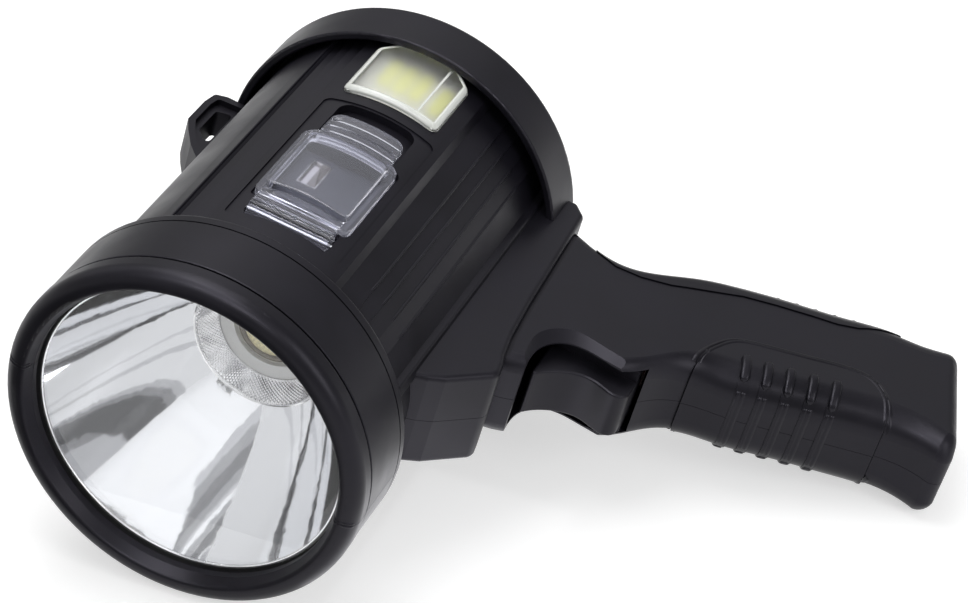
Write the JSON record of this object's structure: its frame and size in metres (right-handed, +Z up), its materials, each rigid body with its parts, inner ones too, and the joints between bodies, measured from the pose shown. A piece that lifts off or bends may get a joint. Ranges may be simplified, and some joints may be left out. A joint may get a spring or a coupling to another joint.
{
  "type": "solar led floodlight",
  "caption": "Handheld pistol-grip searchlight with a round reflector lamp, a side flood lamp, a trigger, a strap loop and a flip cover over its charging socket.",
  "frame": {"origin": "centre of the bounding box at its bottom, where the lamp lies on its right side", "axes": "+X runs the way the handle points, +Y runs from the lens to the back of the head, +Z is up from the surface that the lamp lies on; the lamp leans so that the head and the end of the handle both touch the surface"},
  "size_m": [0.2994, 0.2086, 0.131],
  "materials": {
    "housing_shell": "near-black moulded plastic with a fine satin grain",
    "lug_plastic": "near-black moulded plastic",
    "trigger_plastic": "dark grey moulded plastic, satin",
    "rear_plastic": "near-black moulded plastic",
    "grip_rubber": "soft near-black rubber, matte",
    "seal_rubber": "black seal rubber",
    "lens_glass": "clear flat lens, polished",
    "bowl_mirror": "metallised bowl, mirror finish",
    "collar_mirror": "metallised collar with a diamond pattern",
    "led_white": "white ceramic rim",
    "led_yellow": "yellow phosphor",
    "dome_clear": "clear dome, slightly warm",
    "board_white": "white solder mask",
    "board_green": "green circuit board",
    "sink_metal": "bare extruded metal",
    "screw_steel": "plated steel screws",
    "pin_steel": "drawn steel pin",
    "spring_steel": "spring wire",
    "port_grey": "mid grey plastic plate",
    "socket_steel": "bright plated shell",
    "tongue_white": "white plastic tongue",
    "cover_clear": "clear moulded plastic, slightly blue",
    "lens_frosted": "frosted white translucent plastic",
    "solar_cells": "dark blue silicon cells",
    "solar_glass": "clear crowned window",
    "coil_copper": "copper winding",
    "switch_plastic": "black switch body",
    "cell_wrap": "blue shrink wrap",
    "cradle_plastic": "black plastic frame"
  },
  "bodies": {
    "lamp_body": {"left_housing": "housing_shell", "right_housing": "housing_shell", "lens": "lens_glass", "lens_gasket": "seal_rubber", "reflector_gasket": "seal_rubber", "reflector": "bowl_mirror", "led_collar": "collar_mirror", "main_led": "led_white", "led_phosphor": "led_yellow", "led_dome": "dome_clear", "led_board": "board_white", "heat_sink": "sink_metal", "sink_screws": "screw_steel", "strap_lug": "lug_plastic", "port_plate": "port_grey", "usb_socket": "socket_steel", "usb_tongue": "tongue_white", "charge_board": "board_green", "charge_screws": "screw_steel", "port_cover_pin": "pin_steel", "side_lens": "lens_frosted", "side_board": "board_white", "side_led_chips": "led_yellow", "solar_cell_panel": "solar_cells", "solar_window": "solar_glass", "main_board": "board_green", "drive_coil": "coil_copper", "board_screws": "screw_steel", "trigger_pin": "pin_steel", "trigger_switch": "switch_plastic", "left_grip_pad": "grip_rubber", "right_grip_pad": "grip_rubber", "backstrap": "grip_rubber", "battery_front": "cell_wrap", "battery_rear": "cell_wrap", "battery_cradle": "cradle_plastic", "rear_cover": "rear_plastic", "rear_cover_screws": "screw_steel", "housing_screws": "screw_steel"},
    "trigger_body": {"trigger": "trigger_plastic", "trigger_spring": "spring_steel"},
    "cover_body": {"port_cover": "cover_clear"}
  },
  "joints": [
    {"name": "trigger_hinge", "type": "hinge", "parent": "lamp_body", "child": "trigger_body", "pos_m": [0.01131, 0.02051, 0.04645], "axis": [0.215, 0, 0.9766], "range_deg": [0, 7], "stiffness_Nm_per_rad": 0.6, "springref_deg": -14.32},
    {"name": "cover_hinge", "type": "hinge", "parent": "lamp_body", "child": "cover_body", "pos_m": [-0.06335, -0.04549, 0.11941], "axis": [0.9766, 0, -0.215], "range_deg": [0, 90]}
  ]
}
